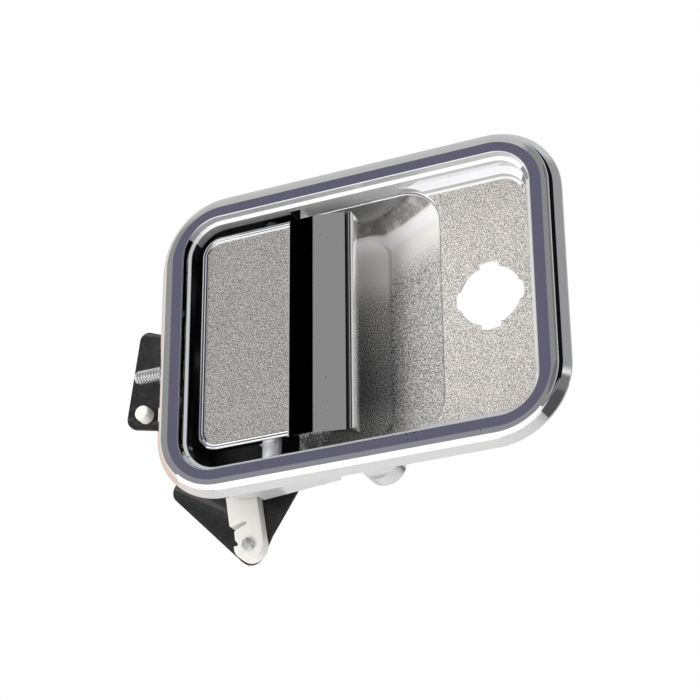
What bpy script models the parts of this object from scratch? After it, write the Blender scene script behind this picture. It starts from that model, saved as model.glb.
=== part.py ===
"""Recessed pull-out door handle: chromed bezel and pan, hinged paddle, rear release levers.

X points right as seen from outside the door, Y points into the door, Z points up.
The origin is on the door side of the gasket, in the middle of its bottom run.
Sizes are in millimetres, taken from the centre of the bezel at the back of its flange,
and the helpers turn them into metres.
"""
import math

import bmesh
import bpy
from mathutils import Matrix, Vector

MM = 0.001
GAP = 0.3                     # clearance between touching pieces

# --- bezel and pan -----------------------------------------------------------
HALF_W, HALF_H = 84.0, 64.7   # half size of the flange
FLANGE_R = 29.4               # outer corner radius
LIP_R = 15.1                  # corner radius of the opening's lip
LIP_INSET = 11.1              # flange edge to lip
WALL_INSET = 13.0             # flange edge to the wall below the lip's step
SIDE_SCALE, END_SCALE = 1.04, 0.96    # the side rails are a little wider than the end rails
CREST = 5.0                   # height of the bezel in front of the flange's back
WALL = 2.6                    # casting thickness
SEAL_T, SEAL_W = 1.5, 5.0     # gasket thickness and width
SEAL_INSET = 2.0              # flange edge to the gasket's outer edge

IN_W, IN_H = HALF_W - WALL_INSET * SIDE_SCALE, HALF_H - WALL_INSET * END_SCALE
IN_R = 13.0
OUT_W, OUT_H, OUT_R = IN_W + WALL, IN_H + WALL, IN_R + WALL
FRONT = -12.0                 # cutters start here, in front of everything

LEDGE_Y = 2.4                 # ledge round the lock panel
PANEL_Y = 5.8                 # face of the lock panel
PANEL_W, PANEL_H = 67.5, 48.3 # right edge and half height of the sunk panel face
PANEL_R = 10.0
WELL_Y = 22.5                 # floor of the well behind the paddle
WELL_RIGHT = -27.5
POCKET_LEFT = WELL_RIGHT + WALL
POCKET_RIGHT = 32.0
POCKET_Y = 20.5               # floor of the finger pocket
POCKET_R = 14.0
RAMP_START = 8.0              # the pocket's floor starts to rise here
FILLET = 6.0
DRAFT = 0.26                  # how much the pocket's upper and lower walls lean in
DIVIDER_Y = 8.0               # front edge of the wall between well and pocket

LOCK_X = 51.7
LOCK_R, LOBE_SIDE_R, LOBE_END_R = 12.4, 13.4, 14.1
LOBE_HALF_ANGLE = math.radians(16)

# --- paddle ------------------------------------------------------------------
HINGE_X, HINGE_Y = -38.6, 7.0
PIN_R = 2.25
BORE_R = 2.55
BARREL_R = 3.75
BARREL_IN = 36.0              # inner end of each hinge barrel, from mid height
PADDLE_LEFT = -65.0
PADDLE_H = 46.2               # half height
PADDLE_Y, PADDLE_T = -3.3, 3.0
PADDLE_R = 8.0
TEXTURE_LEFT, TEXTURE_RIGHT, TEXTURE_H = -62.3, -28.6, 44.2
TEXTURE_DEPTH = 0.6
GRIP_LEFT, ROLL_LEFT, ROLL_RIGHT, GRIP_RIGHT = -27.0, -16.8, -2.2, 1.8

# --- release side ------------------------------------------------------------
PLATE_Y, PLATE_T = 25.4, 1.6  # steel back plate
WINDOW = (-52.0, -29.5, 9.0)  # left, right and half height of the tail's window
TAIL_X, TAIL_T = -45.6, 2.3
ROLLER_X, ROLLER_Y, ROLLER_R = -41.3, 28.4, 2.0
FORK_R = 1.7                  # half width of the fork's arms, less than the roller's radius
LEVER_Y, LEVER_T = 31.0, 1.6
LEVER_PIVOT = (-38.0, -36.0)
PUSH_PIN = (-37.0, 0.0)
PUSH_PIN_R, PUSH_PIN_Y = 2.0, 27.3
CLIP_PIVOT = (-57.6, -74.0)
CLIP_Y, CLIP_T = 25.6, 5.0
CLIP_LEAN = math.radians(8.5)
LOCK_LEVER_Y = 28.0
LOCK_PIVOT = (-75.0, 8.0)
BUSH_AT = (-105.4, -10.4)
STUD_Y, STUD_Z, STUD_TIP, STUD_R = 12.0, -0.8, -101.7, 2.75

# --- fixings -----------------------------------------------------------------
EAR_R, EAR_HOLE_R, EAR_Z = 8.2, 2.1, -51.2
EAR_Y0, EAR_Y1 = 19.0, 27.0
REAR_STUDS = ((LOCK_X, 33.0), (LOCK_X, -33.0))
REAR_STUD_R = 3.0
PLATE_SCREWS = ((-62.0, 39.0), (-32.0, 39.0), (-62.0, -27.0), (-31.5, -19.0))

OFFSET = Vector((0.0, -SEAL_T - GAP, HALF_H - SEAL_INSET - SEAL_W / 2))


# --- helpers -----------------------------------------------------------------
def clear_scene():
    for obj in list(bpy.data.objects):
        bpy.data.objects.remove(obj, do_unlink=True)


def make_collection(name):
    collection = bpy.data.collections.new(name)
    bpy.context.scene.collection.children.link(collection)
    return collection


def make_material(name, color, roughness, metallic):
    material = bpy.data.materials.new(name)
    material.use_nodes = True
    shader = material.node_tree.nodes["Principled BSDF"]
    shader.inputs["Base Color"].default_value = (*color, 1.0)
    shader.inputs["Roughness"].default_value = roughness
    shader.inputs["Metallic"].default_value = metallic
    return material


def place(x, y, z):
    """A point of the bezel's frame, in metres in the part's frame."""
    return (Vector((x, y, z)) + OFFSET) * MM


def arc(cx, cy, radius, start, end, steps):
    """Points on an arc; angles in degrees."""
    points = []
    for i in range(steps + 1):
        angle = math.radians(start + (end - start) * i / steps)
        points.append((cx + radius * math.cos(angle), cy + radius * math.sin(angle)))
    return points


def rounded(corners, steps=6):
    """Outline through (x, y, radius) corners, each rounded with its own radius."""
    outline = []
    count = len(corners)
    for i, (x, y, radius) in enumerate(corners):
        here = Vector((x, y))
        if radius <= 0.0:
            outline.append((x, y))
            continue
        before = (Vector(corners[i - 1][:2]) - here).normalized()
        after = (Vector(corners[(i + 1) % count][:2]) - here).normalized()
        half = before.angle(after) / 2
        centre = here + (before + after).normalized() * radius / math.sin(half)
        first = here + before * radius / math.tan(half) - centre
        turn = first.angle_signed(here + after * radius / math.tan(half) - centre)
        for k in range(steps + 1):
            spoke = Matrix.Rotation(-turn * k / steps, 2) @ first
            outline.append(tuple(centre + spoke))
    return outline


def box_outline(x0, x1, z0, z1, left_r, right_r, steps=6):
    return rounded([(x1, z0, right_r), (x1, z1, right_r), (x0, z1, left_r), (x0, z0, left_r)],
                   steps)


def circle(cx, cy, radius, steps=24):
    return arc(cx, cy, radius, 0, 360 * (steps - 1) / steps, steps - 1)


def add_object(name, mesh, collection):
    obj = bpy.data.objects.new(name, mesh)
    collection.objects.link(obj)
    return obj


def settle(source, name, collection):
    """Replace a curve or a modified object by its own closed mesh, in world space."""
    bpy.context.view_layer.update()
    graph = bpy.context.evaluated_depsgraph_get()
    mesh = bpy.data.meshes.new_from_object(source.evaluated_get(graph))
    mesh.transform(source.matrix_world)
    bpy.data.objects.remove(source, do_unlink=True)
    cage = bmesh.new()
    cage.from_mesh(mesh)
    bmesh.ops.remove_doubles(cage, verts=cage.verts, dist=1e-6)
    bmesh.ops.recalc_face_normals(cage, faces=cage.faces)
    cage.to_mesh(mesh)
    cage.free()
    mesh.materials.clear()
    return add_object(name, mesh, collection)


def extruded(name, outlines, low, high, axis, collection):
    """Flat outlines (holes included) as a plate from low to high along an axis."""
    curve = bpy.data.curves.new(name, 'CURVE')
    curve.dimensions = '2D'
    curve.fill_mode = 'BOTH'
    curve.extrude = (high - low) / 2 * MM
    for outline in outlines:
        spline = curve.splines.new('POLY')
        spline.points.add(len(outline) - 1)
        for point, (x, y) in zip(spline.points, outline):
            point.co = (x * MM, y * MM, 0.0, 1.0)
        spline.use_cyclic_u = True
    source = add_object(name + "_outline", curve, collection)
    middle = (low + high) / 2
    if axis == 'Y':      # outline is (x, z)
        turn, at = Matrix.Rotation(math.pi / 2, 4, 'X'), (0.0, middle, 0.0)
    elif axis == 'X':    # outline is (y, z)
        turn, at = Matrix(((0, 0, 1), (1, 0, 0), (0, 1, 0))).to_4x4(), (middle, 0.0, 0.0)
    else:                # outline is (x, y)
        turn, at = Matrix.Identity(4), (0.0, 0.0, middle)
    source.matrix_world = Matrix.Translation(place(*at)) @ turn
    return settle(source, name, collection)


def plate(name, outlines, low, high, collection):
    return extruded(name, outlines, low, high, 'Y', collection)


def turned(name, profile, centre, axis, collection, steps=20):
    """A turned piece; profile is (radius, height) down its outer side, top first."""
    mesh = bpy.data.meshes.new(name)
    mesh.from_pydata([(r * MM, 0.0, h * MM) for r, h in profile],
                     [(i, i + 1) for i in range(len(profile) - 1)], [])
    source = add_object(name + "_profile", mesh, collection)
    screw = source.modifiers.new("turn", 'SCREW')
    screw.steps = screw.render_steps = steps
    screw.use_merge_vertices = True
    screw.merge_threshold = 1e-6
    turn = Vector((0, 0, 1)).rotation_difference(Vector(axis)).to_matrix().to_4x4()
    source.matrix_world = Matrix.Translation(place(*centre)) @ turn
    return settle(source, name, collection)


def rod(name, radius, centre, axis, length, collection, chamfer=0.3, steps=20):
    """A round bar that starts at centre and runs along axis."""
    profile = [(0.0, length), (radius - chamfer, length), (radius, length - chamfer),
               (radius, chamfer), (radius - chamfer, 0.0), (0.0, 0.0)]
    return turned(name, profile, centre, axis, collection, steps)


def ring(name, inner, outer, centre, axis, length, collection, steps=20):
    """A tube or washer that starts at centre and runs along axis."""
    profile = [(inner, length), (outer, length), (outer, 0.0), (inner, 0.0), (inner, length)]
    return turned(name, profile, centre, axis, collection, steps)


def wire(name, points, radius, collection, resolution=2):
    curve = bpy.data.curves.new(name, 'CURVE')
    curve.dimensions = '3D'
    curve.bevel_depth = radius * MM
    curve.bevel_resolution = resolution
    curve.use_fill_caps = True
    spline = curve.splines.new('POLY')
    spline.points.add(len(points) - 1)
    for point, at in zip(spline.points, points):
        point.co = (*place(*at), 1.0)
    return settle(add_object(name + "_path", curve, collection), name, collection)


def boolean(target, tool, operation):
    """Cut, join or intersect target with a tool, which goes to the cutters."""
    for collection in list(tool.users_collection):
        collection.objects.unlink(tool)
    CUTTERS.objects.link(tool)
    tool.hide_render = True
    tool.display_type = 'WIRE'
    modifier = target.modifiers.new(tool.name, 'BOOLEAN')
    modifier.operation = operation
    modifier.solver = 'EXACT'
    modifier.object = tool


def cut(target, tool):
    boolean(target, tool, 'DIFFERENCE')


def join(target, tool):
    boolean(target, tool, 'UNION')


def bevel(target, width, segments, angle=40.0):
    modifier = target.modifiers.new("edges", 'BEVEL')
    modifier.width = width * MM
    modifier.segments = segments
    modifier.limit_method = 'ANGLE'
    modifier.angle_limit = math.radians(angle)


def finish(obj, material, axis_empty=None):
    obj.data.materials.append(material)
    obj.data.shade_smooth()
    obj.data.set_sharp_from_angle(angle=math.radians(35))
    if axis_empty is not None:
        obj.parent = axis_empty
        obj.matrix_parent_inverse = axis_empty.matrix_world.inverted()
    return obj


def joint_empty(name, x, y, z, parent=None):
    empty = bpy.data.objects.new(name, None)
    HANDLE.objects.link(empty)
    empty.location = place(x, y, z)
    bpy.context.view_layer.update()
    if parent is not None:
        empty.parent = parent
        empty.matrix_parent_inverse = parent.matrix_world.inverted()
        bpy.context.view_layer.update()
    return empty


# --- housing -----------------------------------------------------------------
def loft(name, stations, capped, collection):
    """Skin outlines (x, z) at successive depths y; uncapped, the last joins the first."""
    cage = bmesh.new()
    loops = [[cage.verts.new(place(x, y, z)) for x, z in outline] for y, outline in stations]
    if capped:
        cage.faces.new(loops[0])
        cage.faces.new(loops[-1])
        pairs = zip(loops[:-1], loops[1:])
    else:
        pairs = zip(loops, loops[1:] + loops[:1])
    for loop, following in pairs:
        for k in range(len(loop)):
            n = (k + 1) % len(loop)
            cage.faces.new((loop[k], loop[n], following[n], following[k]))
    bmesh.ops.recalc_face_normals(cage, faces=cage.faces)
    mesh = bpy.data.meshes.new(name)
    cage.to_mesh(mesh)
    cage.free()
    return add_object(name, mesh, collection)


def bezel_ring():
    """The rim's section, lofted round the opening; corners tighten towards the lip."""
    section = [(0.0, 0.0), (0.2, -1.0), (2.0, -3.8), (3.3, -4.6), (6.3, -CREST),
               (10.6, -CREST), (LIP_INSET, -4.6), (11.3, -2.2), (12.8, -1.7),
               (16.0, -0.9), (16.0, 0.0)]
    stations = []
    for inset, y in section:
        if inset <= LIP_INSET:
            radius = FLANGE_R + (LIP_R - FLANGE_R) * inset / LIP_INSET
        else:
            radius = LIP_R + LIP_INSET - inset
        half_w, half_h = HALF_W - inset * SIDE_SCALE, HALF_H - inset * END_SCALE
        stations.append((y, box_outline(-half_w, half_w, -half_h, half_h, radius, radius, 8)))
    return loft("bezel_housing", stations, False, HANDLE)


def pocket_solid(name, grow, front, height):
    """The finger pocket's shape: the right end ramps up, the floor's other edges are round."""
    floor, rim = POCKET_Y + grow, PANEL_Y + grow * 0.7
    left, right = POCKET_LEFT - grow, POCKET_RIGHT + grow
    stations = [(front, box_outline(left, right, -height, height, 3.0, POCKET_R, 6))]
    for i in range(9):
        y = rim + (floor - rim) * math.sin(math.pi / 2 * i / 8)
        climb = ((floor - y) / (floor - rim)) ** 0.87
        edge = RAMP_START + grow * 0.4 + (right - RAMP_START - grow * 0.4) * climb
        into = max(0.0, (y - floor + FILLET) / FILLET)
        round_off = FILLET * (1.0 - math.sqrt(max(0.0, 1.0 - into * into)))
        tall = height - DRAFT * (y - rim) - round_off
        stations.append((y, box_outline(left + round_off, edge, -tall, tall, 3.0,
                                        POCKET_R - 5.0 * i / 8, 6)))
    return loft(name, stations, True, HANDLE)


def lobed_hole(steps=5):
    """Round lock hole with four shallow key notches at the quarter points."""
    outline = []
    for quarter in range(4):
        middle = quarter * 90.0
        half = math.degrees(LOBE_HALF_ANGLE)
        reach = LOBE_SIDE_R if quarter % 2 == 0 else LOBE_END_R
        outline += arc(LOCK_X, 0.0, reach, middle - half, middle + half, steps)
        outline += arc(LOCK_X, 0.0, LOCK_R, middle + half + 3, middle + 87 - half, steps)
    return outline


def make_housing():
    housing = bezel_ring()
    join(housing, plate("pan_slab", [box_outline(-OUT_W, OUT_W, -OUT_H, OUT_H, OUT_R, OUT_R)],
                        -0.7, PANEL_Y + WALL, HANDLE))
    join(housing, pocket_solid("pocket_back", WALL, 2.0, OUT_H - 0.4))
    height = OUT_H - 0.6
    join(housing, plate("well_back",
                        [box_outline(-OUT_W + 0.6, POCKET_LEFT, -height, height, OUT_R, 0.0)],
                        6.0, WELL_Y + WALL - 0.1, HANDLE))
    join(housing, plate("ear", [rounded([(-EAR_R, EAR_Z - EAR_R, EAR_R - 0.1),
                                         (EAR_R, EAR_Z - EAR_R, EAR_R - 0.1),
                                         (EAR_R, EAR_Z + 12, 0), (-EAR_R, EAR_Z + 12, 0)])],
                        EAR_Y0, EAR_Y1, HANDLE))
    cut(housing, plate("well_cut", [box_outline(-IN_W, WELL_RIGHT, -IN_H, IN_H, IN_R, 1.5)],
                       FRONT, WELL_Y, HANDLE))
    cut(housing, pocket_solid("pocket_cut", 0.0, FRONT - 1, IN_H - 0.4))
    height = IN_H - 0.15
    cut(housing, plate("divider_cut", [box_outline(-35.0, -18.0, -height, height, 0.0, 0.0)],
                       FRONT + 1, DIVIDER_Y, HANDLE))
    height = IN_H - 0.05
    cut(housing, plate("ledge_cut", [box_outline(-22.0, IN_W, -height, height, 0.0, IN_R)],
                       FRONT + 2, LEDGE_Y, HANDLE))
    cut(housing, plate("panel_cut",
                       [box_outline(15.0, PANEL_W, -PANEL_H, PANEL_H, 0.0, PANEL_R)],
                       FRONT + 3, PANEL_Y, HANDLE))
    cut(housing, plate("lock_hole_cut", [lobed_hole()], FRONT, 40.0, HANDLE))
    left, right, half = WINDOW
    cut(housing, plate("window_cut", [box_outline(left, right, -half, half, 2.0, 2.0)],
                       15.0, 40.0, HANDLE))
    cut(housing, plate("ear_hole_cut", [circle(0.0, EAR_Z, EAR_HOLE_R)],
                       POCKET_Y + WALL + 0.2, 40.0, HANDLE))
    for number, (x, z) in enumerate(PLATE_SCREWS):
        cut(housing, rod("screw_hole_cut_%d" % number, 2.2, (x, 21.0, z), (0, 1, 0), 9.0,
                         HANDLE, steps=12))
    cut(housing, rod("hinge_bore_cut", BORE_R, (HINGE_X, HINGE_Y, -60.0), (0, 0, 1), 120.0,
                     HANDLE))
    cut(housing, rod("stud_hole_cut", STUD_R + GAP, (-80.0, STUD_Y, STUD_Z), (1, 0, 0), 12.0,
                     HANDLE, steps=16))
    for number, (x, z) in enumerate(REAR_STUDS):
        cut(housing, rod("rear_stud_cut_%d" % number, REAR_STUD_R + GAP,
                         (x, PANEL_Y + 1.0, z), (0, 1, 0), 9.0, HANDLE, steps=16))
    return finish(housing, CHROME)


def make_gasket():
    outer = box_outline(-HALF_W + SEAL_INSET, HALF_W - SEAL_INSET,
                        -HALF_H + SEAL_INSET, HALF_H - SEAL_INSET,
                        FLANGE_R - SEAL_INSET, FLANGE_R - SEAL_INSET)
    inset = SEAL_INSET + SEAL_W
    inner = box_outline(-HALF_W + inset, HALF_W - inset, -HALF_H + inset, HALF_H - inset,
                        FLANGE_R - inset, FLANGE_R - inset)
    return finish(plate("door_gasket", [outer, inner], GAP, GAP + SEAL_T, HANDLE), RUBBER)


# --- paddle ------------------------------------------------------------------
def grip_section():
    """Section (x, y) of the grip: flat facet, rolled front, turned-in finger edge."""
    roll = []
    for i in range(9):
        t = i / 8
        x = ROLL_LEFT + (ROLL_RIGHT - ROLL_LEFT) * t
        roll.append((x, -3.4 - 1.9 * math.sin(math.pi * min(1.0, t * 0.62 + 0.12)) + 2.6 * t ** 3))
    front = [(GRIP_LEFT, -3.9)] + [(ROLL_LEFT - 0.6, -3.7)] + roll
    edge = [(ROLL_RIGHT + 0.5, -2.6), (GRIP_RIGHT - 1.0, -2.2), (GRIP_RIGHT, -1.2),
            (GRIP_RIGHT, 2.6), (GRIP_RIGHT - 0.9, 3.6), (GRIP_RIGHT - 2.4, 3.0)]
    back = [(ROLL_RIGHT - 1.0, 0.6), (ROLL_RIGHT - 4.0, -0.6), (GRIP_LEFT, -0.6)]
    return front + edge + back


def make_paddle(hinge):
    paddle = plate("paddle", [box_outline(PADDLE_LEFT, GRIP_LEFT + 2.0, -PADDLE_H, PADDLE_H,
                                          PADDLE_R, 0.0)],
                   PADDLE_Y, PADDLE_Y + PADDLE_T, HANDLE)
    join(paddle, extruded("grip", [grip_section()], -PADDLE_H, PADDLE_H, 'Z', HANDLE))
    cut(paddle, plate("texture_cut", [box_outline(TEXTURE_LEFT, TEXTURE_RIGHT, -TEXTURE_H,
                                                  TEXTURE_H, PADDLE_R - 2.0, 0.0)],
                      FRONT, PADDLE_Y + TEXTURE_DEPTH, HANDLE))
    back = PADDLE_Y + PADDLE_T - 0.5
    end = IN_H - 0.4
    for side in (-1, 1):
        low, high = sorted((side * BARREL_IN, side * (PADDLE_H - 1.5)))
        join(paddle, extruded("web_%d" % side,
                              [box_outline(HINGE_X - 3.0, HINGE_X + 3.0, back, HINGE_Y, 0, 0)],
                              low, high, 'Z', HANDLE))
        start = min(side * BARREL_IN, side * end)
        join(paddle, rod("barrel_%d" % side, BARREL_R, (HINGE_X, HINGE_Y, start), (0, 0, 1),
                         end - BARREL_IN, HANDLE))
    join(paddle, extruded("tail_block", [box_outline(TAIL_X + TAIL_T + GAP, HINGE_X + 4.0, back,
                                                     HINGE_Y + 4.5, 0.0, 0.0)],
                          -6.0, 6.0, 'Z', HANDLE))
    cut(paddle, rod("paddle_bore_cut", BORE_R, (HINGE_X, HINGE_Y, -60.0), (0, 0, 1), 120.0,
                    HANDLE))
    return finish(paddle, CHROME, hinge)


def make_tail(hinge):
    """Steel arm on the paddle's back that carries the roller which pushes the lever."""
    outline = rounded([(0.2, -5.0, 1.0), (ROLLER_Y + 2.2, -5.0, 1.5),
                       (ROLLER_Y + 2.2, 5.0, 1.5), (0.2, 5.0, 1.0)], 3)
    tail = extruded("paddle_tail", [outline], TAIL_X, TAIL_X + TAIL_T, 'X', HANDLE)
    reach = ROLLER_X - TAIL_X
    for side in (-1, 1):
        low, high = sorted((side * 3.4, side * 5.0))
        join(tail, extruded("fork_%d" % side,
                            [rounded([(TAIL_X + 0.5, ROLLER_Y - FORK_R, 0),
                                      (TAIL_X + reach + FORK_R, ROLLER_Y - FORK_R, FORK_R),
                                      (TAIL_X + reach + FORK_R, ROLLER_Y + FORK_R, FORK_R),
                                      (TAIL_X + 0.5, ROLLER_Y + FORK_R, 0)], 4)],
                            low, high, 'Z', HANDLE))
    cut(tail, rod("tail_screw_cut", 2.2, (TAIL_X - 1.0, 4.0, 0.0), (1, 0, 0), 5.0, HANDLE,
                  steps=12))
    cut(tail, rod("axle_cut", 1.0 + GAP, (ROLLER_X, ROLLER_Y, -9.0), (0, 0, 1), 18.0, HANDLE,
                  chamfer=0.1, steps=12))
    finish(tail, STEEL, hinge)
    finish(ring("tail_roller", 1.0 + GAP, ROLLER_R, (ROLLER_X, ROLLER_Y, -3.1), (0, 0, 1), 6.2,
                HANDLE), NYLON, hinge)
    finish(rod("roller_axle", 1.0, (ROLLER_X, ROLLER_Y, -5.6), (0, 0, 1), 11.2, HANDLE,
               chamfer=0.2, steps=12), ZINC, hinge)
    head = [(0.0, 2.0), (2.6, 2.0), (3.4, 1.2), (3.4, 0.0), (1.8, 0.0), (1.8, -2.3), (0.0, -2.3)]
    finish(turned("tail_screw", head, (TAIL_X - GAP, 4.0, 0.0), (-1, 0, 0), HANDLE, 16), ZINC,
           hinge)


def make_hinge_pin():
    groove, clip_z = 1.7, OUT_H + 1.0
    half = OUT_H + 3.0
    profile = [(0.0, half), (PIN_R - 0.4, half), (PIN_R, half - 0.4)]
    for z in (clip_z + 0.7, -clip_z + 0.7):
        profile += [(PIN_R, z), (groove, z), (groove, z - 1.4), (PIN_R, z - 1.4)]
    profile += [(PIN_R, -half + 0.4), (PIN_R - 0.4, -half), (0.0, -half)]
    finish(turned("hinge_pin", profile, (HINGE_X, HINGE_Y, 0.0), (0, 0, 1), HANDLE, 16), ZINC)
    for name, z in (("hinge_clip_top", clip_z), ("hinge_clip_bottom", -clip_z)):
        outer = arc(HINGE_X, HINGE_Y, 4.4, 120, 420, 14)
        inner = arc(HINGE_X, HINGE_Y, groove + GAP, 412, 128, 12)
        finish(extruded(name, [outer + inner], z - 0.4, z + 0.4, 'Z', HANDLE), STEEL)


def coil_points(cx, cy, cz, radius, pitch, turns, axis, per_turn=10):
    points = []
    for i in range(int(turns * per_turn) + 1):
        angle = 2 * math.pi * i / per_turn
        a, b = radius * math.cos(angle), radius * math.sin(angle)
        rise = pitch * i / per_turn
        points.append((cx + a, cy + b, cz + rise) if axis == 'Z' else (cx + a, cy + rise, cz + b))
    return points


def make_springs():
    low = 10.0
    coil = coil_points(HINGE_X, HINGE_Y, low, 4.0, 1.9, 8.25, 'Z')
    leg = [(HINGE_X + 4.2, HINGE_Y + 14.5, low)]
    finish(wire("paddle_spring", leg + coil, 0.6, HANDLE), STEEL)
    x, z = LEVER_PIVOT
    coil = coil_points(x, PLATE_Y + PLATE_T + 0.9, z, 5.4, 1.1, 2.0, 'Y', 12)
    finish(wire("lever_spring", coil + [(x + 5.6, PLATE_Y + PLATE_T + 3.0, z + 12.0)], 0.5,
                HANDLE), STEEL)


# --- release side ------------------------------------------------------------
def make_back_plate():
    outline = rounded([(-92.0, -30.0, 6), (-52.0, -30.0, 4), (-47.0, -46.0, 5),
                       (-27.5, -46.0, 5), (-27.5, 46.0, 6), (-70.0, 46.0, 6),
                       (-92.0, 26.0, 8)], 4)
    left, right, half = WINDOW
    window = box_outline(left, right + 0.5, -half, half, 2.0, 2.0, 3)
    holes = [circle(x, z, 2.2, 12) for x, z in PLATE_SCREWS]
    holes += [circle(x, z, 2.5 + GAP, 16) for x, z in (LEVER_PIVOT, LOCK_PIVOT)]
    finish(plate("back_plate", [outline, window] + holes, PLATE_Y, PLATE_Y + PLATE_T, HANDLE),
           BLACK)
    head = [(0.0, 1.9), (2.4, 1.9), (3.3, 1.1), (3.3, 0.0), (1.9, 0.0), (1.9, -4.6),
            (1.4, -5.2), (0.0, -5.2)]
    for number, (x, z) in enumerate(PLATE_SCREWS, 1):
        finish(turned("back_plate_screw_%d" % number, head, (x, PLATE_Y + PLATE_T + GAP, z),
                      (0, 1, 0), HANDLE, 12), ZINC)


def make_pivot(name, at, front):
    """Shoulder rivet: set in the back plate, with a collar in front of the lever and a head
    behind it."""
    x, z = at
    start = PLATE_Y - 0.1
    collar = PLATE_Y + PLATE_T + GAP
    head = front + LEVER_T + GAP
    profile = [(0.0, head + 1.6), (3.6, head + 1.4), (4.6, head), (2.5, head),
               (2.5, front - GAP), (4.0, front - GAP), (4.0, collar), (2.5, collar),
               (2.5, start), (0.0, start)]
    shifted = [(radius, y - start) for radius, y in profile]
    finish(turned(name, shifted, (x, start, z), (0, 1, 0), HANDLE, 16), ZINC)


def make_release_lever(pivot):
    px, pz = LEVER_PIVOT
    outline = rounded([(-98.5, -42.2, 5), (-57.5, -84.1, 5.5), (-50.5, -69.5, 10),
                       (-30.0, -38.0, 8), (-31.5, 5.0, 4.5), (-41.0, 5.0, 4.5),
                       (-45.5, -26.0, 14)], 6)
    lever = plate("release_lever",
                  [outline, circle(px, pz, 2.5 + GAP, 16),
                   circle(CLIP_PIVOT[0], CLIP_PIVOT[1], 1.8 + GAP, 12)],
                  LEVER_Y, LEVER_Y + LEVER_T, HANDLE)
    join(lever, rod("push_pin", PUSH_PIN_R, (PUSH_PIN[0], PUSH_PIN_Y, PUSH_PIN[1]), (0, 1, 0),
                    LEVER_Y - PUSH_PIN_Y + 0.8, HANDLE, steps=16))
    finish(lever, BLACK, pivot)
    back = LEVER_Y + LEVER_T
    profile = [(0.0, back + 1.5), (3.0, back + 1.3), (3.8, back + GAP), (1.8, back + GAP),
               (1.8, CLIP_Y - GAP), (2.9, CLIP_Y - GAP), (2.4, CLIP_Y - 1.2),
               (0.0, CLIP_Y - 1.5)]
    shifted = [(radius, y - CLIP_Y) for radius, y in profile]
    finish(turned("clip_pin", shifted, (CLIP_PIVOT[0], CLIP_Y, CLIP_PIVOT[1]), (0, 1, 0),
                  HANDLE, 16), ZINC, pivot)


def clip_point(across, along):
    """A point of the leaning rod clip, from its pivot: across to the right, along upwards."""
    c, s = math.cos(CLIP_LEAN), math.sin(CLIP_LEAN)
    return (CLIP_PIVOT[0] + across * c - along * s, CLIP_PIVOT[1] + across * s + along * c)


def make_rod_clip(swivel):
    steps = [(6.0, 22.0), (-6.9, 22.0), (-6.9, 9.6), (0.2, 9.6), (0.2, 8.6), (-4.8, 8.0),
             (-5.2, 3.0)]
    outline = [clip_point(*point) for point in steps]
    outline += [clip_point(*point) for point in arc(0.0, 0.0, 6.2, 160, 365, 14)]
    hole = circle(CLIP_PIVOT[0], CLIP_PIVOT[1], 1.8 + GAP, 12)
    finish(plate("rod_clip", [outline, hole], CLIP_Y, CLIP_Y + CLIP_T, HANDLE), NYLON, swivel)


def make_lock_lever(pivot):
    outline = rounded([(-109.7, 29.5, 3.5), (-115.3, -13.8, 5.0), (-98.0, -17.5, 14),
                       (-68.0, -6.0, 9), (-64.0, 19.0, 9), (-88.0, 21.0, 20)], 6)
    x, z = LOCK_PIVOT
    bx, bz = BUSH_AT
    finish(plate("lock_lever", [outline, circle(x, z, 2.5 + GAP, 16), circle(bx, bz, 2.3, 16)],
                 LOCK_LEVER_Y, LOCK_LEVER_Y + LEVER_T, HANDLE), BLACK, pivot)
    profile = [(0.0, 5.4), (2.6, 5.4), (3.2, 4.8), (3.3, GAP), (2.0, GAP), (2.0, -LEVER_T - GAP),
               (2.9, -LEVER_T - GAP), (2.6, -LEVER_T - 1.4), (0.0, -LEVER_T - 1.4)]
    finish(turned("lock_lever_bush", profile, (bx, LOCK_LEVER_Y, bz), (0, -1, 0), HANDLE, 16),
           NYLON, pivot)


# --- fixings -----------------------------------------------------------------
def hexagon(cx, cy, across_flats):
    return arc(cx, cy, across_flats / math.sqrt(3), 30, 330, 5)


def make_side_stud():
    wall = -OUT_W
    start = wall + WALL + 1.8
    length = start - STUD_TIP
    profile = [(0.0, length), (STUD_R * 0.6, length), (STUD_R, length - 1.6),
               (STUD_R, 1.2), (STUD_R - 0.6, 0.0), (0.0, 0.0)]
    finish(turned("side_stud", profile, (start, STUD_Y, STUD_Z), (-1, 0, 0), HANDLE, 20), ZINC)
    nut = [hexagon(STUD_Y, STUD_Z, 10.0), circle(STUD_Y, STUD_Z, STUD_R + GAP, 20)]
    inner = wall + WALL + GAP
    finish(extruded("side_stud_nut", nut, wall - GAP - 4.8, wall - GAP, 'X', HANDLE), ZINC)
    finish(extruded("side_stud_locknut", nut, inner, inner + 1.4, 'X', HANDLE), ZINC)


def make_rear_studs():
    back = PANEL_Y + WALL
    for name, (x, z) in zip(("upper", "lower"), REAR_STUDS):
        finish(rod("mounting_stud_" + name, REAR_STUD_R, (x, PANEL_Y + 1.3, z), (0, 1, 0), 22.0,
                   HANDLE, 0.6, 16), ZINC)
        finish(ring("mounting_washer_" + name, REAR_STUD_R + GAP, 6.0, (x, back + GAP, z),
                    (0, 1, 0), 1.2, HANDLE, 16), ZINC)
        finish(plate("mounting_nut_" + name,
                     [hexagon(x, z, 10.0), circle(x, z, REAR_STUD_R + GAP, 16)],
                     back + 2 * GAP + 1.2, back + 2 * GAP + 6.2, HANDLE), ZINC)


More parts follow.
